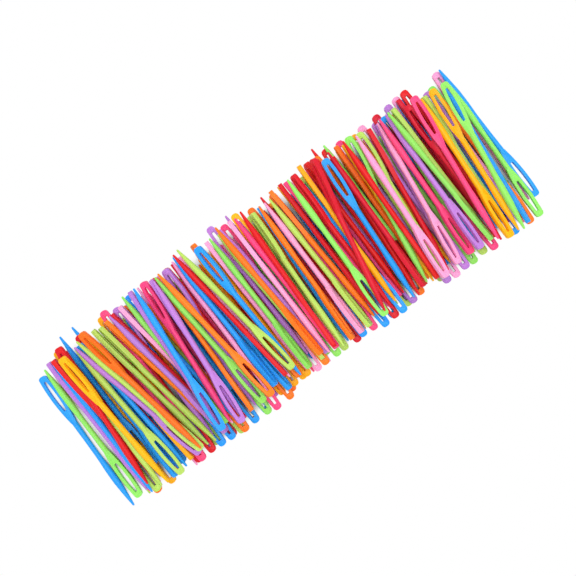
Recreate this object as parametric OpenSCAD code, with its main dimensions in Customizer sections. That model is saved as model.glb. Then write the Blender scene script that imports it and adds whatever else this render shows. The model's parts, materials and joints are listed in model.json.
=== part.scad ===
/* [Needle] */
// Length of one needle, from the end of its eye to its point
needle_len = 70; // [62:1:85]
// Diameter of the shaft where the eye runs out into it
neck_d = 2.5; // [2.1:0.1:3]
// Diameter of the shaft at its waist, in the middle of the needle
waist_d = 2.3; // [1.8:0.1:2.6]
// Diameter of the long swelling behind the point
swell_d = 2.9; // [2.4:0.1:3.4]
// Length of the point, from the swelling to the tip
point_len = 13; // [9:0.5:16]
// Diameter of the blunt tip
tip_d = 0.9; // [0.6:0.1:1.4]

/* [Eye] */
// Width of the eye across its widest place
eye_w = 4.6; // [4.2:0.1:5.4]
// Thickness of the flat eye
eye_thick = 1.9; // [1.5:0.1:2.3]
// Distance from the end of the eye to the place where it has run out into the shaft
eye_len = 24; // [22:0.5:28]
// Distance from the end of the eye to its widest place
eye_mid = 10.5; // [9.5:0.5:12]
// Radius of the two corners at the end of the eye
eye_corner = 1.1; // [0.6:0.1:1.4]
// Length of the hole for the yarn
hole_len = 15.6; // [12:0.2:16.4]
// Width of the hole for the yarn at its middle
hole_w = 1.9; // [1.4:0.1:2.2]

/* [Heap] */
// Air left between two needles that lie on each other
air = 0.2; // [0.15:0.05:0.5]
// Number of needles on the floor, side by side
floor_count = 53; // [40:1:54]
// Distance between the middles of two needles on the floor
floor_pitch = 4; // [3.6:0.1:5]
// How far a needle on the floor lies askew at most, in degrees
floor_askew = 0.6; // [0:0.1:3]
// How far a needle on the floor is shifted along its length at most
floor_shift = 3; // [0:0.5:6]

/* [Hidden] */
$fn = 96;
COLOURS = ["blue", "lime", "green", "red", "pink", "rose", "purple", "orange", "yellow"];
PAINT = ["#2fa4fb", "#a5f05a", "#b9dd65", "#e01f2d", "#fb4a86",
         "#f7a3cf", "#bf80ea", "#ff7b1e", "#fdb714"];
ENDS = [-1, 1];

// Which way the eye points, and how the flat eye is rolled about the needle
UP = 1;
DOWN = -1;
FLAT = 0;
TILTED = 20;
SLIT = 65;
EDGE = 90;

// The shaft as pairs of distance from the eye's end and radius: it starts inside the
// eye, narrows to its waist, swells and ends in the point
waist_at = 39;
waist_half = 4;
swell_len = 5;
shaft_start = eye_len - 4;
neck_at = eye_len + 1.5;
swell_at = needle_len - point_len;
shaft = [
  [shaft_start, 0.92 * eye_thick / 2],
  [neck_at, neck_d / 2],
  [waist_at - waist_half, waist_d / 2],
  [waist_at + waist_half, waist_d / 2],
  [swell_at - swell_len, swell_d / 2],
  [swell_at, swell_d / 2],
  [needle_len - tip_d / 2, tip_d / 2],
  [needle_len, tip_d / 5]
];

// Radius of the two arcs that bound the eye, and of the two that bound its hole
eye_arc = (pow(eye_len - eye_mid, 2) + pow((eye_w - neck_d) / 2, 2)) / (eye_w - neck_d);
hole_end = 0.6;
hole_arc = (pow(hole_len / 2 - hole_end, 2) + pow(hole_w / 2 - hole_end, 2))
  / (hole_w - 2 * hole_end);

// The needles that show from above, from left to right. A row is the needle's number, or
// 0 if it goes with the lower ones of its colour, its colour, where it crosses the upper
// and the lower reading line, how far it is shifted along its length, which way its eye
// points and how it is rolled. A needle lies on those before it.
read_line = 35;
ground_needles = [
  [1, "blue", -111.2, -113.4, 0.2, UP, FLAT],
  [2, "lime", -107.3, -108.9, 1.7, DOWN, FLAT],
  [0, "rose", 109.6, 108.6, 0.3, UP, FLAT],
  [51, "blue", 111.4, 111.3, 0, DOWN, FLAT]
];
low_needles = [
  [0, "pink", -104.9, -104.9, 1, UP, FLAT],
  [0, "yellow", -99.6, -99, 5, UP, FLAT],
  [0, "blue", -96, -96.3, 9.3, DOWN, FLAT],
  [0, "green", -99, -100.2, -0.7, DOWN, FLAT],
  [0, "blue", -93.6, -91, 1, UP, FLAT],
  [0, "blue", -89.8, -85.5, 9.3, DOWN, FLAT],
  [0, "red", -86.8, -84.5, 4.3, UP, FLAT],
  [0, "red", -81, -79.8, -2.2, DOWN, FLAT],
  [0, "yellow", -77.8, -78, 5, UP, FLAT],
  [0, "pink", -77.5, -76.3, -2.4, DOWN, FLAT],
  [0, "red", -74, -73.3, -2.3, DOWN, FLAT],
  [0, "pink", -71.8, -72, 6.2, UP, FLAT],
  [0, "blue", -68.3, -67.8, -2.8, DOWN, FLAT],
  [0, "purple", -66.3, -66.5, 3.8, UP, FLAT],
  [0, "blue", -62, -61.5, -3.2, DOWN, FLAT],
  [0, "blue", -58.8, -60, 5, UP, FLAT],
  [0, "green", -57.3, -57.3, -3.6, DOWN, FLAT],
  [0, "rose", -55, -55.3, 5, DOWN, FLAT],
  [0, "orange", -53.3, -52.9, -3.6, DOWN, FLAT],
  [0, "yellow", -50.6, -50.1, -3.3, DOWN, FLAT],
  [0, "blue", -47.5, -47.3, -3.5, DOWN, FLAT],
  [0, "blue", -43.5, -43.2, -3, DOWN, FLAT],
  [0, "lime", -41, -40.6, -3.8, DOWN, FLAT],
  [0, "pink", -37, -36.8, -4.6, DOWN, FLAT],
  [0, "red", -38, -37.5, 3.8, UP, FLAT],
  [0, "yellow", -33.5, -33.2, -1, DOWN, FLAT],
  [0, "orange", -28.9, -28.7, -4.6, DOWN, FLAT],
  [0, "yellow", -24.5, -24.3, -1.5, DOWN, FLAT],
  [0, "yellow", -20.5, -20.4, -1.4, DOWN, FLAT],
  [0, "yellow", -17, -16.8, -1.2, DOWN, FLAT],
  [0, "rose", -14.5, -14.4, -2.4, DOWN, FLAT],
  [0, "purple", -11.7, -11.2, 6.8, UP, FLAT],
  [0, "pink", -9.3, -10.5, 3.8, UP, FLAT],
  [0, "orange", -7.2, -6.9, -1.8, DOWN, FLAT],
  [0, "purple", -5.8, -5.2, 6.2, DOWN, FLAT],
  [0, "lime", -1.8, -1.6, -2, DOWN, FLAT],
  [0, "yellow", 0.4, 0.6, 4, UP, FLAT],
  [0, "green", 4.4, 4, 0, UP, FLAT],
  [0, "red", 10.4, 10.4, -3, DOWN, FLAT],
  [0, "red", 12.3, 13, 3.8, DOWN, FLAT],
  [0, "blue", 14, 13.8, -2.4, DOWN, FLAT],
  [0, "orange", 16.8, 17, 1.8, UP, FLAT],
  [0, "pink", 19.5, 19.3, -3, DOWN, FLAT],
  [0, "blue", 22.3, 22.1, -4.8, DOWN, FLAT],
  [0, "rose", 25.5, 25.3, -2, UP, FLAT],
  [0, "blue", 27, 27, -3.3, DOWN, FLAT],
  [0, "red", 29.8, 29.4, -3.8, DOWN, FLAT],
  [0, "green", 32, 32, -1, UP, FLAT],
  [0, "blue", 33, 32.9, -3.8, DOWN, FLAT],
  [0, "green", 35.4, 35.4, -4.3, DOWN, FLAT],
  [0, "purple", 39.2, 39.1, -4.3, DOWN, FLAT],
  [0, "red", 42.3, 43, 6.8, DOWN, FLAT],
  [0, "orange", 44.5, 44.8, 2.5, UP, FLAT],
  [0, "red", 47.3, 47, 3, UP, FLAT],
  [0, "lime", 50.6, 50.3, 4.3, DOWN, FLAT],
  [0, "green", 53.8, 53.6, -4.3, DOWN, FLAT],
  [0, "pink", 56.7, 57, 1.8, UP, FLAT],
  [0, "purple", 57.6, 57.3, -6, DOWN, FLAT],
  [0, "rose", 62, 61.7, -7.4, DOWN, FLAT],
  [0, "yellow", 63.3, 63.8, 0, UP, FLAT],
  [0, "rose", 66.1, 66.5, 1.5, UP, FLAT],
  [0, "purple", 68.2, 68.1, -6.5, DOWN, FLAT],
  [0, "lime", 73.3, 73.1, -7.3, DOWN, FLAT],
  [0, "red", 75, 75.2, 1.3, UP, FLAT],
  [0, "blue", 78.8, 79, -1.7, UP, FLAT],
  [0, "purple", 82.3, 82, 1.5, UP, FLAT],
  [0, "pink", 83.3, 83.2, -7.4, DOWN, FLAT],
  [0, "rose", 86, 86, 2.2, UP, FLAT],
  [0, "blue", 89.3, 89, -0.5, UP, FLAT],
  [0, "red", 92, 91, 1.8, UP, FLAT],
  [0, "blue", 94.5, 93.5, -7.8, DOWN, FLAT],
  [0, "purple", 101.5, 99.5, -4.8, UP, FLAT],
  [0, "orange", 104.5, 102.8, -8, DOWN, FLAT],
  [0, "lime", 109, 105.6, -8, DOWN, FLAT]
];
upright_needles = [
  [3, "purple", -106.3, -106, 2.7, UP, EDGE],
  [0, "blue", -103.9, -103.6, 0.7, UP, EDGE],
  [4, "red", -103.6, -100.3, 1.7, UP, EDGE],
  [0, "green", -100.8, -101.2, 0.7, UP, EDGE],
  [0, "red", -95, -102.5, 4.5, UP, TILTED],
  [0, "blue", -93.7, -93.5, -0.3, DOWN, SLIT],
  [0, "blue", -88.8, -85, 0.3, UP, EDGE],
  [0, "yellow", -86.5, -82, 1.5, DOWN, EDGE],
  [10, "green", -80.7, -71.4, 2, UP, EDGE],
  [11, "green", -77.5, -67.8, 1, UP, SLIT],
  [12, "orange", -74.8, -63.4, 1.8, UP, SLIT],
  [0, "red", -71.7, -62, 2.5, UP, EDGE],
  [13, "purple", -70.2, -60.6, 2, DOWN, SLIT],
  [14, "rose", -67.3, -58.3, 3, UP, EDGE],
  [0, "blue", -63.6, -57.5, 3.3, UP, SLIT],
  [0, "lime", -61.2, -58.3, 5.3, DOWN, EDGE],
  [0, "purple", -56.3, -61, 4.7, UP, EDGE],
  [0, "red", -47.3, -54.9, 4, UP, EDGE],
  [0, "purple", -46.8, -47.5, 3, UP, SLIT],
  [16, "pink", -50.4, -56.1, 4.8, UP, TILTED],
  [0, "orange", -43, -46, 2.5, DOWN, EDGE],
  [0, "purple", -42.7, -48, 3, UP, EDGE],
  [17, "purple", -44.7, -51.7, 1.5, DOWN, TILTED],
  [0, "red", -38, -38, 4, UP, EDGE],
  [0, "purple", -38.8, -41.3, 3, UP, TILTED],
  [0, "rose", -36.2, -36.4, 4.5, DOWN, EDGE],
  [0, "blue", -33, -28.6, -0.4, DOWN, SLIT],
  [20, "blue", -33.8, -32.3, 5.3, DOWN, SLIT],
  [21, "rose", -32.8, -27.6, 4, UP, EDGE],
  [0, "red", -31.3, -24.3, 6, DOWN, EDGE],
  [23, "orange", -26, -23.5, 5, UP, SLIT],
  [0, "orange", -23.8, -22.8, 1.5, DOWN, TILTED],
  [24, "blue", -21.2, -19.3, 2, UP, TILTED],
  [25, "rose", -17.8, -17, 2, UP, EDGE],
  [26, "lime", -15, -14.6, 2, DOWN, SLIT],
  [27, "green", -13.6, -10.3, 1.5, DOWN, EDGE],
  [28, "purple", -11.4, -6.8, 2.5, DOWN, SLIT],
  [0, "rose", -3.6, -3.6, 2.5, UP, EDGE],
  [29, "orange", -8.1, -4.3, 4.2, DOWN, SLIT],
  [30, "pink", -1.2, -0.3, 2, DOWN, SLIT],
  [0, "red", 3.5, 0.3, 3.2, DOWN, EDGE],
  [31, "green", 6.2, 2.5, 0.5, UP, SLIT],
  [32, "blue", 9.2, 4.7, 0.2, UP, EDGE],
  [0, "orange", 11.6, 8.9, 0.2, DOWN, SLIT],
  [33, "rose", 14.1, 13.4, 0, DOWN, SLIT],
  [34, "green", 16.4, 18.2, 0, DOWN, SLIT],
  [35, "orange", 19.6, 21.4, 2.5, UP, EDGE],
  [0, "yellow", 22, 23.2, 2.5, UP, EDGE],
  [0, "red", 24.9, 24.3, 2.3, UP, EDGE],
  [0, "pink", 29.3, 33.3, 1, UP, EDGE],
  [0, "red", 31.2, 30.5, 1, UP, SLIT],
  [0, "yellow", 34.8, 32.2, 2.8, UP, EDGE],
  [0, "pink", 37.2, 36.1, 2, DOWN, EDGE],
  [0, "red", 39.8, 39.3, 2.5, UP, SLIT],
  [0, "red", 43.5, 41, 1, UP, EDGE],
  [0, "red", 51.2, 44.5, -2.5, UP, EDGE],
  [0, "orange", 54, 51, 0.5, UP, EDGE],
  [0, "yellow", 56.7, 52.5, -1.3, UP, EDGE],
  [40, "lime", 60.4, 49.9, 0, UP, TILTED],
  [39, "red", 51.5, 49, 0, DOWN, SLIT],
  [0, "green", 61.3, 54.6, -3, DOWN, EDGE],
  [0, "red", 57, 54, -0.8, DOWN, EDGE],
  [43, "red", 70.8, 60.7, -2, UP, EDGE],
  [44, "purple", 74.2, 63.5, -2, DOWN, SLIT],
  [0, "lime", 80.2, 74.8, -3, UP, EDGE],
  [0, "green", 85, 85.3, -2, UP, EDGE],
  [0, "red", 88.3, 86.5, 0, UP, EDGE],
  [0, "red", 90.3, 87.5, -5, UP, TILTED],
  [0, "green", 98.5, 94.4, -6, UP, SLIT],
  [0, "blue", 108.5, 100.3, -7, DOWN, SLIT]
];
top_needles = [
  [5, "yellow", -97, -96.1, -0.3, UP, TILTED],
  [6, "green", -92.3, -88.5, -0.5, DOWN, TILTED],
  [7, "purple", -91.7, -77, 1, DOWN, FLAT],
  [8, "green", -89.5, -75, 2.3, DOWN, TILTED],
  [9, "orange", -84.6, -73.8, 3.5, UP, TILTED],
  [15, "blue", -53.9, -60, 4.5, DOWN, TILTED],
  [18, "lime", -44.4, -40.2, 2.6, DOWN, TILTED],
  [19, "orange", -42.4, -35.2, 3, DOWN, TILTED],
  [22, "green", -29.5, -21.4, 6.7, DOWN, TILTED],
  [36, "lime", 28.4, 26.8, 0.5, DOWN, FLAT],
  [37, "red", 43.3, 28.4, 1.7, UP, SLIT],
  [38, "blue", 47.1, 42.4, -1.7, UP, FLAT],
  [42, "green", 67.3, 58.6, -1, UP, TILTED],
  [41, "rose", 63.9, 57, -2.2, DOWN, TILTED],
  [0, "rose", 77.3, 66.6, -2, DOWN, TILTED],
  [45, "pink", 77, 73.8, -2, DOWN, TILTED],
  [46, "purple", 81.4, 78.7, -2.3, DOWN, TILTED],
  [47, "lime", 80.8, 84.2, -2.5, DOWN, SLIT],
  [49, "yellow", 97.2, 91.3, -6.5, DOWN, TILTED],
  [48, "pink", 96.1, 87.9, -3.7, UP, FLAT],
  [0, "yellow", 104, 96, -6, UP, TILTED],
  [50, "lime", 108.3, 97.3, -7, UP, TILTED]
];

// The places of these values in a row, and in a needle once it has been laid
NUMBER = 0;
COLOUR = 1;
UPPER_X = 2;
LOWER_X = 3;
SHIFT = 4;
ROW_EYE = 5;
ROW_ROLL = 6;
X = 2;
Y = 3;
LEAN = 4;
EYE = 5;
ROLL = 6;
SQUARE = 7;
Z = 8;
RISE = 9;

// Half the width of the eye at distance u from its end
function eye_half(u) =
  sqrt(pow(eye_arc, 2) - pow(u - eye_mid, 2)) - eye_arc + eye_w / 2;

// Half-width, half-height and round radius of a rolled needle at distance u: the eye
// is taken as the box around it, and the shaft as a circle
function section(u, roll) =
  u < eye_len
    ? let (across = eye_half(max(u, 0)), thick = eye_thick / 2)
      [across * cos(roll) + thick * sin(roll), across * sin(roll) + thick * cos(roll), 0]
    : [0, 0, lookup(u, shaft)];

// A row's needle laid on the plan, nudged sideways at its upper and its lower end. Its
// lean is its slope in plan, and its square the cosine of that
function laid(row, nudge = [0, 0]) =
  let (upper = row[UPPER_X] + nudge[0],
       lower = row[LOWER_X] + nudge[1],
       lean = (upper - lower) / (2 * read_line))
  [row[NUMBER], row[COLOUR], (upper + lower) / 2, row[SHIFT], lean, row[ROW_EYE], row[ROW_ROLL],
   cos(atan(lean)), 0, 0];

// Distance from the eye's end to a place along the heap, and the middle line there
function along(n, y) = needle_len / 2 + (n[Y] - y) * n[EYE] / n[SQUARE];
function x_at(n, y) = n[X] + n[LEAN] * (y - n[Y]);
function z_at(n, y) = n[Z] + n[RISE] * (y - n[Y]);
function end_y(n, side) = n[Y] + side * n[SQUARE] * needle_len / 2;
function covers(n, y) = abs(y - n[Y]) < n[SQUARE] * needle_len / 2;

// Height that a needle's middle line needs over the floor, and over another needle
function floor_height(n, y) =
  let (own = section(along(n, y), n[ROLL]))
  own[1] + own[2];
function rest_height(n, other, y) =
  let (u = along(other, y))
  u < -0.01 || u > needle_len + 0.01 ? 0 :
  let (away = abs(x_at(n, y) - x_at(other, y)) * other[SQUARE])
  away > eye_w + air ? 0 :
  let (own = section(along(n, y), n[ROLL]),
       under = section(u, other[ROLL]),
       rounds = own[2] + under[2] + air,
       beside = max(0, away - own[0] - under[0]))
  beside >= rounds ? 0 :
  z_at(other, y) + own[1] + under[1] + sqrt(pow(rounds, 2) - pow(beside, 2));

// A needle rolls sideways from where it was read, to where it lies low and level: first
// the whole needle, in wide steps, and then each end by itself, in small ones. The ones
// on top roll half as far, and the ones that lie alone at the ends stay where they are
wide_nudges = [for (i = [-3:3]) [i, i]];
small_nudges = [for (i = ENDS, pair = [[0.5, 0.5], [0.5, -0.5], [0.8, 0], [0, 0.8]]) i * pair];
nudge = 1;
top_nudge = 0.3;

// What a rise along a needle, and a millimetre away from where it was read, cost it
// against a millimetre of height
rise_cost = 40;
nudge_cost = 0.8;

// Two needles whose middle lines come near each other somewhere along their length
function are_near(n, other) =
  let (a = x_at(n, needle_len / 2) - x_at(other, needle_len / 2),
       b = x_at(n, -needle_len / 2) - x_at(other, -needle_len / 2))
  a * b < 0 || min(abs(a), abs(b)) < eye_w + air + 4 * nudge;

// The places along a needle where it may touch what is under it: stations of its own,
// the ends of the others, and where it crosses them
few_stations = 8;
many_stations = 40;
function stations(n, count) = [for (i = [0:count]) end_y(n, i * 2 / count - 1)];
function crossing_y(n, other) =
  n[Y] + (x_at(other, n[Y]) - n[X]) / (n[LEAN] - other[LEAN]);
function touch_places(n, others) = concat(
  stations(n, many_stations),
  [for (other = others, side = ENDS) if (covers(n, end_y(other, side))) end_y(other, side)],
  [for (other = others)
    if (abs(n[LEAN] - other[LEAN]) > 0.001)
    if (covers(n, crossing_y(n, other))) crossing_y(n, other)]
);

// Height and rise of the line on which a needle comes to rest. It rests on two places,
// one on each side of its middle: of all the lines through such a pair, the one that
// is highest at the middle touches both
function rest_line(n, others, places) =
  let (needs = [for (y = places)
         let (heights = [for (other = others) rest_height(n, other, y)])
         [y - n[Y], max(concat([floor_height(n, y)], heights))]],
       before = [for (p = needs) if (p[0] <= 0) p],
       after = [for (p = needs) if (p[0] > 0) p],
       lines = [for (p = before, q = after)
         [(p[1] * q[0] - q[1] * p[0]) / (q[0] - p[0]), (q[1] - p[1]) / (q[0] - p[0])]],
       highest = max([for (line = lines) line[0]]))
  [for (line = lines) if (line[0] == highest) line][0];

// Each try is its cost, the needle and its nudge
function tries(row, others, nudges) =
  [for (moved = nudges)
    let (n = laid(row, moved),
         line = rest_line(n, others, stations(n, few_stations)),
         far = max(abs(moved[0]), abs(moved[1])))
    [line[0] + rise_cost * abs(line[1]) + nudge_cost * far, n, moved]];
function best_try(all_tries) =
  let (lowest = min([for (t = all_tries) t[0]]))
  [for (t = all_tries) if (t[0] == lowest) t][0];
function at_rest(row, heap, step) =
  let (read = laid(row),
       others = [for (other = heap) if (are_near(read, other)) other],
       wide = best_try(tries(row, others, step * wide_nudges)),
       nudges = [for (small = small_nudges) wide[2] + step * small],
       n = best_try(concat([wide], tries(row, others, nudges)))[1],
       line = rest_line(n, others, touch_places(n, others)))
  [for (i = [0:SQUARE]) n[i], line[0], line[1]];

function settled(rows, step, heap = [], i = 0) =
  i == len(rows) ? heap : settled(rows, step, concat(heap, [at_rest(rows[i], heap, step)]), i + 1);

// The rows were read as if every needle lay on the floor. Seen from straight above the
// middle, one that lies higher looks further out, so it is brought back in, by the
// height at which needles of its list lie
view_height = 340;
ground_height = 1.5;
low_height = 6;
upright_height = 12;
top_height = 16;
function brought_in(rows, height) =
  [for (row = rows)
    let (share = height / view_height,
         inward = -share * (row[UPPER_X] + row[LOWER_X]) / 2)
    [row[NUMBER], row[COLOUR], row[UPPER_X] + inward, row[LOWER_X] + inward,
     (1 - share) * row[SHIFT], row[ROW_EYE], row[ROW_ROLL]]];

// The floor layer goes on below the others, evenly spaced and a little askew, and drifts
// down towards its right end. The two turns spread its headings and shifts without a
// pattern
drift_start = 20;
floor_drift = 0.07;
heading_turn = 137.5;
shift_turn = 222.5;
colour_step = 5;
function floor_row(i) =
  let (x = (i - (floor_count - 1) / 2) * floor_pitch,
       reach = read_line * tan(floor_askew * sin(i * heading_turn)))
  [0, COLOURS[(i * colour_step + 2) % len(COLOURS)], x + reach, x - reach,
   floor_shift * sin(i * shift_turn) - floor_drift * max(0, x - drift_start),
   i % 2 == 0 ? UP : DOWN, FLAT];

floor_heap = settled([for (i = [0:floor_count - 1]) floor_row(i)], nudge);
ground_heap = settled(brought_in(ground_needles, ground_height), 0, floor_heap);
low_heap = settled(brought_in(low_needles, low_height), nudge, ground_heap);
upright_heap = settled(brought_in(upright_needles, upright_height), nudge, low_heap);
heap = settled(brought_in(top_needles, top_height), top_nudge, upright_heap);

// The heap stands with the middle of its outline over the origin
function half_width(n, y) =
  let (own = section(along(n, y), n[ROLL]))
  own[0] + own[2];
edge_x = [for (side = ENDS)
  side * max([for (n = heap, y = stations(n, many_stations))
    side * x_at(n, y) + half_width(n, y)])];
edge_y = [for (side = ENDS) side * max([for (n = heap) side * end_y(n, side)])];
middle = [(edge_x[0] + edge_x[1]) / 2, (edge_y[0] + edge_y[1]) / 2];

// The names of the needles that have a node of their own, and of the groups below them
single = [for (n = heap) if (n[NUMBER] > 0) n];
function single_name(n) = str(n[COLOUR], "_needle_", n[NUMBER] < 10 ? "0" : "", n[NUMBER]);
function lower_name(colour) = str("lower_", colour, "_needles");

// Lens between two arcs, its widest place at the origin, cut off at its reach
module lens(arc, width, reach) {
  intersection() {
    translate([arc - width / 2, 0]) circle(r = arc, $fn = 256);
    translate([width / 2 - arc, 0]) circle(r = arc, $fn = 256);
    square([2 * width, 2 * reach], center = true);
  }
}

// The flat eye: a lens with a blunt end and two round corners
module eye_outline() {
  corner_x = eye_half(eye_corner) - eye_corner;
  intersection() {
    translate([0, eye_mid]) lens(eye_arc, eye_w, eye_len - eye_mid + 1);
    union() {
      for (side = ENDS) translate([side * corner_x, eye_corner]) circle(r = eye_corner);
      translate([-corner_x, 0]) square([2 * corner_x, eye_corner]);
      translate([-eye_w, eye_corner]) square([2 * eye_w, eye_len]);
    }
  }
}

// The hole for the yarn: a slot with bulging sides and small round ends
module hole_outline() {
  reach = hole_len / 2 - hole_end;
  lens(hole_arc, hole_w, reach);
  for (side = ENDS) translate([0, side * reach]) circle(r = hole_end);
}

// One needle along Y, its eye's end at the origin and its flat eye level
module needle() {
  translate([0, 0, -eye_thick / 2]) linear_extrude(eye_thick) difference() {
    eye_outline();
    translate([0, eye_mid]) hole_outline();
  }
  rotate([-90, 0, 0]) rotate_extrude() polygon(concat(
    [[0, shaft_start]], [for (p = shaft) [p[1], p[0]]], [[0, needle_len]]
  ));
}

module needle_in_heap(n) {
  paint = PAINT[search([n[COLOUR]], COLOURS)[0]];
  color(paint) translate([n[X] - middle[0], n[Y] - middle[1], n[Z]])
    rotate([0, 0, n[EYE] == UP ? 180 - atan(n[LEAN]) : -atan(n[LEAN])])
      rotate([-n[EYE] * atan(n[RISE] * n[SQUARE]), 0, 0]) rotate([0, n[ROLL], 0])
        translate([0, -needle_len / 2, 0]) needle();
}

module lower_needles(colour) {
  for (n = heap) if (n[NUMBER] == 0 && n[COLOUR] == colour) needle_in_heap(n);
}

for (n = single) needle_in_heap(n);
for (c = COLOURS) lower_needles(c);
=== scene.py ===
"""A loose heap of moulded plastic yarn needles, seen from straight above on a white ground."""

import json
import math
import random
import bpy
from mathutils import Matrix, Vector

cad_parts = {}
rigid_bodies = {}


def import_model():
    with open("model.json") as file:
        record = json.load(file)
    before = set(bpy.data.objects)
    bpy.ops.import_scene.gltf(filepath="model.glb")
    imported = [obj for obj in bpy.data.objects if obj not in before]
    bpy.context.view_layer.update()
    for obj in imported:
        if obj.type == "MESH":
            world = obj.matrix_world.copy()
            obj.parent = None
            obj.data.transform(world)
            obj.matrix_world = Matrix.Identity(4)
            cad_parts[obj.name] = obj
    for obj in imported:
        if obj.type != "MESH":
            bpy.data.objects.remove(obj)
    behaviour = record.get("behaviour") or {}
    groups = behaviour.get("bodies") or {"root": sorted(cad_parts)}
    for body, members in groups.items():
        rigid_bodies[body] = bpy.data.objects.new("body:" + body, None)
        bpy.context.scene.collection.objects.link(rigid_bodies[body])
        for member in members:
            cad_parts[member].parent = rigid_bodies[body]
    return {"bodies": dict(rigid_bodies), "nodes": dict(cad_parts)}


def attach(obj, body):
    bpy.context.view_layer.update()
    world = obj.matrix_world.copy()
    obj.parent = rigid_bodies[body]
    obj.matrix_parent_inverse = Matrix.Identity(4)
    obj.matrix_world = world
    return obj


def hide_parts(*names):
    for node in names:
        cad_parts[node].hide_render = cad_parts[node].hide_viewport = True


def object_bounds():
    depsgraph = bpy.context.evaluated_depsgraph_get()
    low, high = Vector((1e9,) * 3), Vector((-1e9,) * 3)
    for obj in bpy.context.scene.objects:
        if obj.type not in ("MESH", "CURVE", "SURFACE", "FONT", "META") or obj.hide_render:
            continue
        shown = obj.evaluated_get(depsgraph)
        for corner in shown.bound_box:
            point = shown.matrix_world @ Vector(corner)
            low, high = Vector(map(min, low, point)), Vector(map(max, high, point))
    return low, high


bl_info = {
    "name": "Yarn needle heap",
    "version": (1, 0, 0),
    "blender": (4, 5, 0),
    "location": "View3D > Sidebar > Yarn needles",
    "description": "Models and colours a loose heap of plastic yarn needles and lights it from above",
    "category": "Object",
}

import bmesh
import bpy
import numpy as np
from bpy.props import FloatProperty, FloatVectorProperty, IntProperty, PointerProperty
from mathutils import Matrix, Vector

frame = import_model()
CAD_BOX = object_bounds()

# The colours of the plastic, written in sRGB.
COLOURS = {
    "blue": (0.16, 0.63, 0.98),
    "lime": (0.58, 0.90, 0.40),
    "green": (0.73, 0.87, 0.40),
    "red": (0.86, 0.10, 0.16),
    "pink": (0.99, 0.29, 0.52),
    "rose": (0.98, 0.64, 0.82),
    "purple": (0.74, 0.50, 0.84),
    "orange": (1.00, 0.48, 0.11),
    "yellow": (1.00, 0.71, 0.06),
}
LOWER = "lower_"

# Where the shaft changes, from the place where the eye has run out, in metres
SHAFT_IN_EYE = 0.004
NECK_AT = 0.0015
WAIST_FROM = 0.011
WAIST_TO = 0.019
SWELL_RUN = 0.005
SHAFT_IN_EYE_SHARE = 0.92
# The point narrows partly evenly and partly faster towards its tip
POINT_EVEN = 0.72
POINT_LATE = 0.28
POINT_POWER = 2.6
# How far the eye's plate runs on into the shaft, and how near its faces an edge counts
EYE_OVERLAP = 0.001
FACE_CLOSE = 1e-5
RIM_ANGLE = math.radians(60)
SMOOTH_ANGLE = math.radians(55)
HOLE_BEVEL_SHARE = 0.86
# The length at each end over which a needle's eye is told from its point
END_SPAN = 0.012

# The plastic's pattern: streaks along the needle, a fine skin and the parting line
STREAK_SCALE = (500, 40, 500)
STREAK_SHIFT = 40.0
SKIN_SCALE = 1200.0
SKIN_ROUGHNESS = 0.05
SKIN_HEIGHT = 0.25
PARTING_HALF_WIDTH = 0.00007
BUMP_STRENGTH = 0.10
BUMP_DEPTH = 0.00003
HUE_SHARE = 0.06
PLASTIC_IOR = 1.49
PLASTIC_SHINE = 0.25

# The ground: its size, how far it lies below the heap, and how open to the sky it is
# where the shade painted onto its seen white turns black and where it stays white
GROUND_SIZE = 6
GROUND_DROP = 0.0001
GROUND_ROUGHNESS = 0.9
SKY_BLACK = 0.06
SKY_WHITE = 0.34
LAMP_SIZE = 0.50
SIDE_LAMP_SHARE = 0.2


def linear(colour):
    """A written sRGB colour as the linear one that a shader takes."""
    return [c / 12.92 if c <= 0.04045 else ((c + 0.055) / 1.055) ** 2.4 for c in colour]


class NeedleSizes(bpy.types.PropertyGroup):
    """Sizes of one moulded needle."""

    length: FloatProperty(
        name="Length",
        description="From the end of the eye to the point",
        default=0.070, unit="LENGTH",
    )
    neck: FloatProperty(
        name="Neck",
        description="Diameter where the eye runs out into the shaft",
        default=0.0025, unit="LENGTH",
    )
    waist: FloatProperty(
        name="Waist",
        description="Diameter in the middle of the needle",
        default=0.0023, unit="LENGTH",
    )
    swell: FloatProperty(
        name="Swelling",
        description="Diameter of the swelling behind the point",
        default=0.0029, unit="LENGTH",
    )
    point: FloatProperty(
        name="Point", description="Length of the point", default=0.013, unit="LENGTH"
    )
    tip: FloatProperty(
        name="Tip", description="Diameter of the blunt tip", default=0.0009, unit="LENGTH"
    )
    eye_length: FloatProperty(
        name="Eye length",
        description="From the eye's end to where it has run out",
        default=0.024, unit="LENGTH",
    )
    eye_width: FloatProperty(
        name="Eye width",
        description="Across the widest place of the eye",
        default=0.0046, unit="LENGTH",
    )
    eye_thickness: FloatProperty(
        name="Eye thickness", description="Of the flat eye", default=0.0019, unit="LENGTH"
    )
    eye_middle: FloatProperty(
        name="Eye middle",
        description="From the eye's end to its widest place",
        default=0.0105, unit="LENGTH",
    )
    corner: FloatProperty(
        name="Corner",
        description="Radius of the corners at the eye's end",
        default=0.0011, unit="LENGTH",
    )
    hole_length: FloatProperty(
        name="Hole length",
        description="Length of the hole for the yarn",
        default=0.0156, unit="LENGTH",
    )
    hole_width: FloatProperty(
        name="Hole width",
        description="Width of the hole for the yarn",
        default=0.0019, unit="LENGTH",
    )
    hole_end: FloatProperty(
        name="Hole end", description="Radius of the hole's ends", default=0.0006, unit="LENGTH"
    )
    rim: FloatProperty(
        name="Rim",
        description="How far the eye's edges are rounded",
        default=0.00055, unit="LENGTH",
    )
    fine_sides: IntProperty(
        name="Fine sides",
        description="Sides of the shaft of a needle that shows",
        default=20, min=8,
    )
    plain_sides: IntProperty(
        name="Plain sides", description="Sides of the shaft of a lower needle", default=8, min=6
    )


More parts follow.
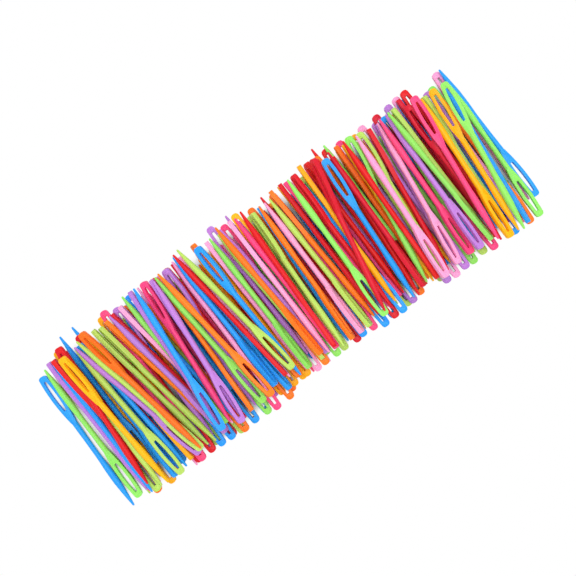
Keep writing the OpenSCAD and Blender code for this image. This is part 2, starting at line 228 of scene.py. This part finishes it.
class PlasticLooks(bpy.types.PropertyGroup):
    """Looks of the moulded plastic."""

    roughness: FloatProperty(
        name="Roughness",
        description="How matt the plastic is",
        default=0.45, min=0, max=1, subtype="FACTOR",
    )
    glow: FloatProperty(
        name="Translucency",
        description="How much light goes on below the surface",
        default=0.20, min=0, max=1, subtype="FACTOR",
    )
    depth: FloatProperty(
        name="Depth",
        description="How far the light goes below the surface",
        default=0.0008, unit="LENGTH",
    )
    spread: FloatProperty(
        name="Spread",
        description="How far the colours of two needles may differ",
        default=0.06, min=0, max=1, subtype="FACTOR",
    )
    streak: FloatProperty(
        name="Streaks",
        description="How much the plastic is streaked along the needle",
        default=0.03, min=0, max=1, subtype="FACTOR",
    )


class StageLooks(bpy.types.PropertyGroup):
    """The ground, the lamps and the camera."""

    ground: FloatVectorProperty(
        name="Ground",
        description="Colour of the ground",
        default=(0.93, 0.93, 0.93), size=3, subtype="COLOR",
    )
    view_width: FloatProperty(
        name="View width",
        description="Width of ground that the camera sees",
        default=0.256, unit="LENGTH",
    )
    view_height: FloatProperty(
        name="View height",
        description="Height of the camera over the ground",
        default=0.340, unit="LENGTH",
    )
    view_middle: FloatVectorProperty(
        name="View middle",
        description="Where on the ground the camera looks",
        default=(0.000124, -0.001001), size=2, unit="LENGTH",
    )
    view_turn: FloatProperty(
        name="View turn",
        description="How far the camera is turned over the heap",
        default=math.radians(-37.7), subtype="ANGLE",
    )
    key: FloatProperty(
        name="Key lamp", description="Power of the large soft lamp", default=3.6, unit="POWER"
    )
    fill: FloatProperty(
        name="Fill", description="Strength of the light from all round", default=0.66, min=0
    )
    # The reach of the painted shade: the ground's seen white is darkened by ambient occlusion near
    # and between the needles
    gap: FloatProperty(
        name="Gap",
        description="How far the shade between needles reaches over the ground",
        default=0.03, unit="LENGTH",
    )


def lone(obj):
    """Makes obj the only selected object, and the active one."""
    bpy.ops.object.select_all(action="DESELECT")
    obj.select_set(True)
    bpy.context.view_layer.objects.active = obj
    return obj


def start(name):
    """Names the primitive that was just added, and puts its place into its mesh."""
    obj = bpy.context.active_object
    obj.name = obj.data.name = name
    lone(obj)
    bpy.ops.object.transform_apply(location=True, rotation=True, scale=True)
    return obj


def edit(obj, choose=None, mode="VERT"):
    """Opens obj for editing with only the chosen corners, edges or faces selected."""
    lone(obj)
    bpy.ops.object.mode_set(mode="EDIT")
    bpy.ops.mesh.select_mode(type=mode)
    bpy.ops.mesh.select_all(action="DESELECT")
    mesh = bmesh.from_edit_mesh(obj.data)
    mesh.normal_update()
    parts = {"VERT": mesh.verts, "EDGE": mesh.edges, "FACE": mesh.faces}[mode]
    for part in parts:
        if choose is None or choose(part):
            part.select_set(True)
    mesh.select_flush_mode()
    bmesh.update_edit_mesh(obj.data)


def leave():
    bpy.ops.object.mode_set(mode="OBJECT")


def combine(obj, other, how):
    """Joins, cuts or intersects obj with other, which is then gone."""
    lone(obj)
    step = obj.modifiers.new(how.lower(), "BOOLEAN")
    step.operation, step.object, step.solver = how, other, "EXACT"
    bpy.ops.object.modifier_apply(modifier=step.name)
    bpy.data.objects.remove(other, do_unlink=True)
    return obj


def lens(name, arc, width, middle, low, high, thickness, sides):
    """A flat lens between two arcs, cut off square at both ends."""
    halves = []
    for side in (-1, 1):
        bpy.ops.object.select_all(action="DESELECT")
        bpy.ops.mesh.primitive_cylinder_add(
            vertices=sides,
            radius=arc,
            depth=thickness,
            location=(side * (arc - width / 2), middle, 0),
        )
        halves.append(start(name))
    obj = combine(halves[0], halves[1], "INTERSECT")
    for place, outer in ((low, False), (high, True)):
        edit(obj)
        bpy.ops.mesh.bisect(
            plane_co=(0, place, 0),
            plane_no=(0, 1, 0),
            use_fill=True,
            clear_inner=not outer,
            clear_outer=outer,
        )
        leave()
    return obj


def upright(edge, places):
    """Whether an edge stands upright at one of these distances from the eye's end."""
    a, b = (v.co for v in edge.verts)
    stands = abs(a.z - b.z) > 1e-5
    return stands and any(abs(a.y - p) < 1e-6 and abs(b.y - p) < 1e-6 for p in places)


def model_eye(size, fine):
    """The flat eye with its long hole, its corners and rims rounded."""
    rise = (size.eye_width - size.neck) / 2
    reach = size.eye_length - size.eye_middle
    arc = (reach**2 + rise**2) / (2 * rise)
    sides = 240 if fine else 60
    eye = lens(
        "eye",
        arc,
        size.eye_width,
        size.eye_middle,
        0,
        size.eye_length + EYE_OVERLAP,
        size.eye_thickness,
        sides,
    )
    edit(eye, lambda e: upright(e, (0,)), "EDGE")
    bpy.ops.mesh.bevel(
        offset=size.corner, segments=5 if fine else 2, affect="EDGES", clamp_overlap=False
    )
    leave()
    half = size.hole_length / 2
    bulge = size.hole_width / 2 - size.hole_end
    hole_arc = ((half - size.hole_end) ** 2 + bulge**2) / (2 * bulge)
    ends = (size.eye_middle - half, size.eye_middle + half)
    hole = lens(
        "hole", hole_arc, size.hole_width, size.eye_middle, *ends, size.eye_thickness * 2, sides
    )
    edit(hole, lambda e: upright(e, ends), "EDGE")
    bpy.ops.mesh.bevel(
        offset=size.hole_end * HOLE_BEVEL_SHARE,
        segments=4 if fine else 1,
        affect="EDGES",
        clamp_overlap=False,
    )
    leave()
    combine(eye, hole, "DIFFERENCE")
    level = size.eye_thickness / 2 - FACE_CLOSE
    edit(
        eye,
        lambda e: all(abs(v.co.z) > level for v in e.verts)
        and len(e.link_faces) == 2
        and e.calc_face_angle(0) > RIM_ANGLE,
        "EDGE",
    )
    bpy.ops.mesh.bevel(
        offset=size.rim, segments=3 if fine else 1, affect="EDGES", clamp_overlap=True
    )
    leave()
    return eye


def ease(a, b, share):
    """Goes smoothly from a to b."""
    return a + (b - a) * (1 - math.cos(math.pi * share)) / 2


def shaft_rings(size, fine):
    """Pairs of distance from the eye's end and radius, from inside the eye to the tip."""
    thick = size.eye_thickness / 2
    eye = size.eye_length
    neck, waist, swell, tip = size.neck / 2, size.waist / 2, size.swell / 2, size.tip / 2
    full = size.length - size.point
    stretches = [
        (eye - SHAFT_IN_EYE, eye + NECK_AT, SHAFT_IN_EYE_SHARE * thick, neck, 4 if fine else 1),
        (eye + NECK_AT, eye + WAIST_FROM, neck, waist, 3 if fine else 1),
        (eye + WAIST_FROM, eye + WAIST_TO, waist, waist, 1),
        (eye + WAIST_TO, full - SWELL_RUN, waist, swell, 5 if fine else 1),
        (full - SWELL_RUN, full, swell, swell, 1),
    ]
    rings = [(stretches[0][0], stretches[0][2])]
    for low, high, first, last, steps in stretches:
        for i in range(1, steps + 1):
            rings.append((low + (high - low) * i / steps, ease(first, last, i / steps)))
    steps = 7 if fine else 2
    taper = size.point - tip
    for i in range(1, steps + 1):
        share = i / steps
        narrowed = POINT_EVEN * share + POINT_LATE * share**POINT_POWER
        rings.append((full + taper * share, swell - (swell - tip) * narrowed))
    for turn in (30, 60, 80) if fine else (45,):
        angle = math.radians(turn)
        rings.append((size.length - tip + tip * math.sin(angle), tip * math.cos(angle)))
    return rings


def model_shaft(size, fine):
    """The round shaft, drawn out ring by ring from inside the eye to the tip."""
    rings = shaft_rings(size, fine)
    bpy.ops.object.select_all(action="DESELECT")
    bpy.ops.mesh.primitive_circle_add(
        vertices=size.fine_sides if fine else size.plain_sides,
        radius=rings[0][1],
        fill_type="NGON",
        location=(0, rings[0][0], 0),
        rotation=(math.radians(90), 0, 0),
    )
    shaft = start("shaft")
    edit(shaft)
    for (before, old), (place, radius) in zip(rings, rings[1:]):
        bpy.ops.mesh.extrude_region_move(TRANSFORM_OT_translate={"value": (0, place - before, 0)})
        bpy.ops.transform.resize(value=(radius / old, 1, radius / old), center_override=(0, place, 0))
    bpy.ops.mesh.select_all(action="SELECT")
    bpy.ops.mesh.normals_make_consistent(inside=False)
    leave()
    return shaft


def model_needle(size, fine):
    """One needle along Y, the end of its eye at the origin and its flat eye level."""
    needle = combine(model_shaft(size, fine), model_eye(size, fine), "UNION")
    needle.name = needle.data.name = "needle"
    edit(needle)
    bpy.ops.mesh.remove_doubles(threshold=2e-6)
    bpy.ops.mesh.select_all(action="SELECT")
    bpy.ops.mesh.normals_make_consistent(inside=False)
    leave()
    lone(needle)
    bpy.ops.object.shade_smooth_by_angle(angle=SMOOTH_ANGLE)
    place = needle.data.attributes.new("needle_place", "FLOAT_VECTOR", "POINT")
    for i, corner in enumerate(needle.data.vertices):
        place.data[i].vector = corner.co
    return needle


def solids(node):
    """The corners and triangles of each separate solid of a CAD node."""
    mesh = bmesh.new()
    mesh.from_mesh(frame["nodes"][node].data)
    bmesh.ops.remove_doubles(mesh, verts=mesh.verts, dist=1e-7)
    bmesh.ops.triangulate(mesh, faces=mesh.faces)
    mesh.verts.ensure_lookup_table()
    seen = set()
    for first in mesh.verts:
        if first.index in seen:
            continue
        group, todo = [], [first]
        seen.add(first.index)
        while todo:
            corner = todo.pop()
            group.append(corner)
            for edge in corner.link_edges:
                other = edge.other_vert(corner)
                if other.index not in seen:
                    seen.add(other.index)
                    todo.append(other)
        faces = {face for corner in group for face in corner.link_faces}
        yield np.array([[v.co[:] for v in face.verts] for face in faces])
    mesh.free()


def lie(triangles):
    """Where a needle lies: the matrix that takes one from the origin to this solid's place.
    A needle is the same on both sides of its eye's plane and of its middle line, so the
    axes of its mass are its own."""
    middle = triangles.reshape(-1, 3).mean(0)
    a, b, c = (triangles[:, i] - middle for i in range(3))
    volume = np.einsum("ij,ij->i", a, np.cross(b, c)) / 6
    centre = ((a + b + c) / 4 * volume[:, None]).sum(0) / volume.sum()
    total = np.zeros((3, 3))
    for p, q in ((a, a), (b, b), (c, c), (a + b + c, a + b + c)):
        total += np.einsum("i,ij,ik->jk", volume, p, q) / 20
    total = total / volume.sum() - np.outer(centre, centre)
    axes = np.linalg.eigh(total)[1]
    along, across = axes[:, 2], axes[:, 1]
    corners = triangles.reshape(-1, 3) - middle - centre
    far = corners @ along
    side = np.linalg.norm(corners - np.outer(far, along), axis=1)
    if side[far > far.max() - END_SPAN].max() > side[far < far.min() + END_SPAN].max():
        along, far = -along, -far
    flat = np.cross(across, along)
    if flat[2] < 0:
        flat, across = -flat, -across
    origin = middle + centre + along * far.min()
    place = Matrix([[*row, at] for row, at in zip(np.array([across, along, flat]).T, origin)])
    place.resize_4x4()
    return place


def plastic(name, colour, looks):
    """Moulded plastic: a little translucent, faintly streaked along the needle, with a
    fine matt skin and the line where the two halves of the mould met."""
    material = bpy.data.materials.new("moulded_" + name)
    material.use_nodes = True
    nodes, links = material.node_tree.nodes, material.node_tree.links
    shader = nodes["Principled BSDF"]

    def node(kind, **inputs):
        made = nodes.new(kind)
        for key, value in inputs.items():
            made.inputs[key.replace("_", " ")].default_value = value
        return made

    def maths(how, first, second):
        made = nodes.new("ShaderNodeMath")
        made.operation = how
        for socket, value in zip(made.inputs, (first, second)):
            if isinstance(value, (int, float)):
                socket.default_value = value
            else:
                links.new(value, socket)
        return made.outputs[0]

    place = nodes.new("ShaderNodeAttribute")
    place.attribute_name = "needle_place"
    tint = nodes.new("ShaderNodeAttribute")
    tint.attribute_name = "needle_tint"

    stretch = node("ShaderNodeMapping", Scale=STREAK_SCALE)
    links.new(place.outputs["Vector"], stretch.inputs["Vector"])
    shift = nodes.new("ShaderNodeCombineXYZ")
    links.new(maths("MULTIPLY", tint.outputs["Fac"], STREAK_SHIFT), shift.inputs["X"])
    links.new(shift.outputs["Vector"], stretch.inputs["Location"])
    streaks = node("ShaderNodeTexNoise", Scale=1.0, Detail=3.0, Roughness=0.6)
    links.new(stretch.outputs["Vector"], streaks.inputs["Vector"])

    spread = maths("MULTIPLY", maths("SUBTRACT", tint.outputs["Fac"], 0.5), 2 * looks.spread)
    streak = maths("MULTIPLY", maths("SUBTRACT", streaks.outputs["Fac"], 0.5), 2 * looks.streak)
    level = maths("ADD", maths("ADD", spread, streak), 1.0)
    shade = node("ShaderNodeHueSaturation", Color=(*linear(colour), 1))
    links.new(level, shade.inputs["Value"])
    links.new(maths("ADD", maths("MULTIPLY", spread, HUE_SHARE), 0.5), shade.inputs["Hue"])
    links.new(shade.outputs["Color"], shader.inputs["Base Color"])

    skin = node("ShaderNodeTexNoise", Scale=SKIN_SCALE, Detail=1.0)
    links.new(place.outputs["Vector"], skin.inputs["Vector"])
    rough = maths("MULTIPLY", maths("SUBTRACT", skin.outputs["Fac"], 0.5), SKIN_ROUGHNESS)
    links.new(maths("ADD", rough, looks.roughness), shader.inputs["Roughness"])

    axes = nodes.new("ShaderNodeSeparateXYZ")
    links.new(place.outputs["Vector"], axes.inputs["Vector"])
    off_plane = maths("DIVIDE", maths("ABSOLUTE", axes.outputs["Z"], 0.0), PARTING_HALF_WIDTH)
    line = maths("MAXIMUM", maths("SUBTRACT", 1.0, off_plane), 0.0)
    height = maths("ADD", maths("MULTIPLY", skin.outputs["Fac"], SKIN_HEIGHT), line)
    bump = node("ShaderNodeBump", Strength=BUMP_STRENGTH, Distance=BUMP_DEPTH)
    links.new(height, bump.inputs["Height"])
    links.new(bump.outputs["Normal"], shader.inputs["Normal"])

    shader.inputs["Subsurface Weight"].default_value = looks.glow
    shader.inputs["Subsurface Radius"].default_value = [0.3 + 0.7 * c for c in linear(colour)]
    shader.inputs["Subsurface Scale"].default_value = looks.depth
    shader.inputs["IOR"].default_value = PLASTIC_IOR
    shader.inputs["Specular IOR Level"].default_value = PLASTIC_SHINE
    return material


def lay_needles(nodes, fine):
    """Models the needle once and lays a copy of it at each solid of these nodes."""
    settings = bpy.context.scene
    model = model_needle(settings.needle_sizes, fine)
    owners = {
        n: body
        for body, empty in frame["bodies"].items()
        for n in nodes
        if frame["nodes"][n].parent == empty
    }
    for node in nodes:
        colour = node.replace(LOWER, "").split("_")[0]
        draw = random.Random(node)
        material = bpy.data.materials.get("moulded_" + colour) or plastic(
            colour, COLOURS[colour], settings.plastic_looks
        )
        copies = []
        for triangles in solids(node):
            copy = model.copy()
            copy.data = model.data.copy()
            bpy.context.collection.objects.link(copy)
            copy.data.transform(lie(triangles))
            tint = copy.data.attributes.new("needle_tint", "FLOAT", "POINT")
            tint.data.foreach_set("value", [draw.random()] * len(copy.data.vertices))
            copies.append(copy)
        bpy.ops.object.select_all(action="DESELECT")
        for copy in copies:
            copy.select_set(True)
        piece = copies[0]
        bpy.context.view_layer.objects.active = piece
        if len(copies) > 1:
            bpy.ops.object.join()
        piece.name = piece.data.name = "moulded_" + node
        piece.data.materials.clear()
        piece.data.materials.append(material)
        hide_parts(node)
        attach(piece, owners[node])
    bpy.data.objects.remove(model, do_unlink=True)


def seen_directly(tree):
    """1 where the camera, a reflection or a clear piece sees this, and 0 for its light."""
    path = tree.nodes.new("ShaderNodeLightPath")
    seen = path.outputs["Is Camera Ray"]
    for other in ("Is Glossy Ray", "Is Transmission Ray"):
        either = tree.nodes.new("ShaderNodeMath")
        either.operation = "MAXIMUM"
        tree.links.new(seen, either.inputs[0])
        tree.links.new(path.outputs[other], either.inputs[1])
        seen = either.outputs[0]
    return seen


class NEEDLES_OT_top(bpy.types.Operator):
    """Model the numbered needles that show from above"""

    bl_idname = "needles.top"
    bl_label = "Top needles"

    def execute(self, context):
        lay_needles(sorted(n for n in frame["nodes"] if not n.startswith(LOWER)), True)
        return {"FINISHED"}


class NEEDLES_OT_lower(bpy.types.Operator):
    """Model the needles that lie lower in the heap, grouped by colour"""

    bl_idname = "needles.lower"
    bl_label = "Lower needles"

    def execute(self, context):
        lay_needles(sorted(n for n in frame["nodes"] if n.startswith(LOWER)), False)
        return {"FINISHED"}


class NEEDLES_OT_stage(bpy.types.Operator):
    """Lay the ground, hang the lamps and set the camera over the heap"""

    bl_idname = "needles.stage"
    bl_label = "Ground, lamps and camera"

    def execute(self, context):
        looks = context.scene.stage_looks
        low = CAD_BOX[0]
        bpy.ops.object.select_all(action="DESELECT")
        bpy.ops.mesh.primitive_plane_add(size=GROUND_SIZE, location=(0, 0, low.z - GROUND_DROP))
        ground = start("ground")
        paper = bpy.data.materials.new("white_ground_painted_shade")
        paper.use_nodes = True
        nodes, links = paper.node_tree.nodes, paper.node_tree.links
        shader = nodes["Principled BSDF"]
        shader.inputs["Base Color"].default_value = (*looks.ground, 1)
        shader.inputs["Roughness"].default_value = GROUND_ROUGHNESS
        # Painted shade: where the camera or a reflection sees the ground, it is a white glow darkened
        # by ambient occlusion, black in the gaps between needles
        shade = nodes.new("ShaderNodeAmbientOcclusion")
        shade.inputs["Distance"].default_value = looks.gap
        painted_gap_shade = nodes.new("ShaderNodeMapRange")
        painted_gap_shade.inputs["From Min"].default_value = SKY_BLACK
        painted_gap_shade.inputs["From Max"].default_value = SKY_WHITE
        links.new(shade.outputs["AO"], painted_gap_shade.inputs["Value"])
        glow = nodes.new("ShaderNodeEmission")
        links.new(painted_gap_shade.outputs["Result"], glow.inputs["Strength"])
        mix = nodes.new("ShaderNodeMixShader")
        links.new(seen_directly(paper.node_tree), mix.inputs["Fac"])
        links.new(shader.outputs["BSDF"], mix.inputs[1])
        links.new(glow.outputs["Emission"], mix.inputs[2])
        links.new(mix.outputs["Shader"], nodes["Material Output"].inputs["Surface"])
        ground.data.materials.append(paper)

        world = bpy.data.worlds.new("soft_room")
        context.scene.world = world
        world.use_nodes = True
        nodes, links = world.node_tree.nodes, world.node_tree.links
        room = nodes["Background"]
        room.inputs["Color"].default_value = (1, 1, 1, 1)
        room.inputs["Strength"].default_value = looks.fill
        white = nodes.new("ShaderNodeBackground")
        white.inputs["Color"].default_value = (1, 1, 1, 1)
        mix = nodes.new("ShaderNodeMixShader")
        links.new(seen_directly(world.node_tree), mix.inputs["Fac"])
        links.new(room.outputs["Background"], mix.inputs[1])
        links.new(white.outputs["Background"], mix.inputs[2])
        links.new(mix.outputs["Shader"], nodes["World Output"].inputs["Surface"])

        turn = Matrix.Rotation(looks.view_turn, 4, "Z")
        for name, place, power in (
            ("key_lamp", (0.06, 0.04, 0.80), looks.key),
            ("side_lamp", (-0.40, 0.40, 0.60), looks.key * SIDE_LAMP_SHARE),
        ):
            bpy.ops.object.light_add(type="AREA", location=turn @ Vector(place))
            lamp = context.active_object
            lamp.name = name
            lamp.data.size = LAMP_SIZE
            lamp.data.energy = power
            lamp.rotation_euler = (-lamp.location).to_track_quat("-Z", "Y").to_euler()

        bpy.ops.object.camera_add(rotation=(0, 0, looks.view_turn))
        camera = context.active_object
        camera.name = "camera"
        camera.location = (*looks.view_middle, low.z + looks.view_height)
        camera.data.lens = camera.data.sensor_width * looks.view_height / looks.view_width
        camera.data.clip_start, camera.data.clip_end = 0.01, 20
        context.scene.camera = camera
        context.scene.view_settings.view_transform = "Standard"
        return {"FINISHED"}


class NEEDLES_PT_heap(bpy.types.Panel):
    """Lists the steps that dress the heap."""

    bl_label = "Yarn needles"
    bl_idname = "NEEDLES_PT_heap"
    bl_space_type = "VIEW_3D"
    bl_region_type = "UI"
    bl_category = "Yarn needles"

    def draw(self, context):
        for step in STEPS:
            self.layout.operator(step.bl_idname)


STEPS = (NEEDLES_OT_top, NEEDLES_OT_lower, NEEDLES_OT_stage)
SETTINGS = {"needle_sizes": NeedleSizes, "plastic_looks": PlasticLooks, "stage_looks": StageLooks}
CLASSES = (*SETTINGS.values(), *STEPS, NEEDLES_PT_heap)


def register():
    for kind in CLASSES:
        bpy.utils.register_class(kind)
    for name, kind in SETTINGS.items():
        setattr(bpy.types.Scene, name, PointerProperty(type=kind))


def unregister():
    for name in SETTINGS:
        delattr(bpy.types.Scene, name)
    for kind in reversed(CLASSES):
        bpy.utils.unregister_class(kind)


def main():
    register()
    bpy.ops.needles.top()
    bpy.ops.needles.lower()
    bpy.ops.needles.stage()


if __name__ == "__main__":
    main()
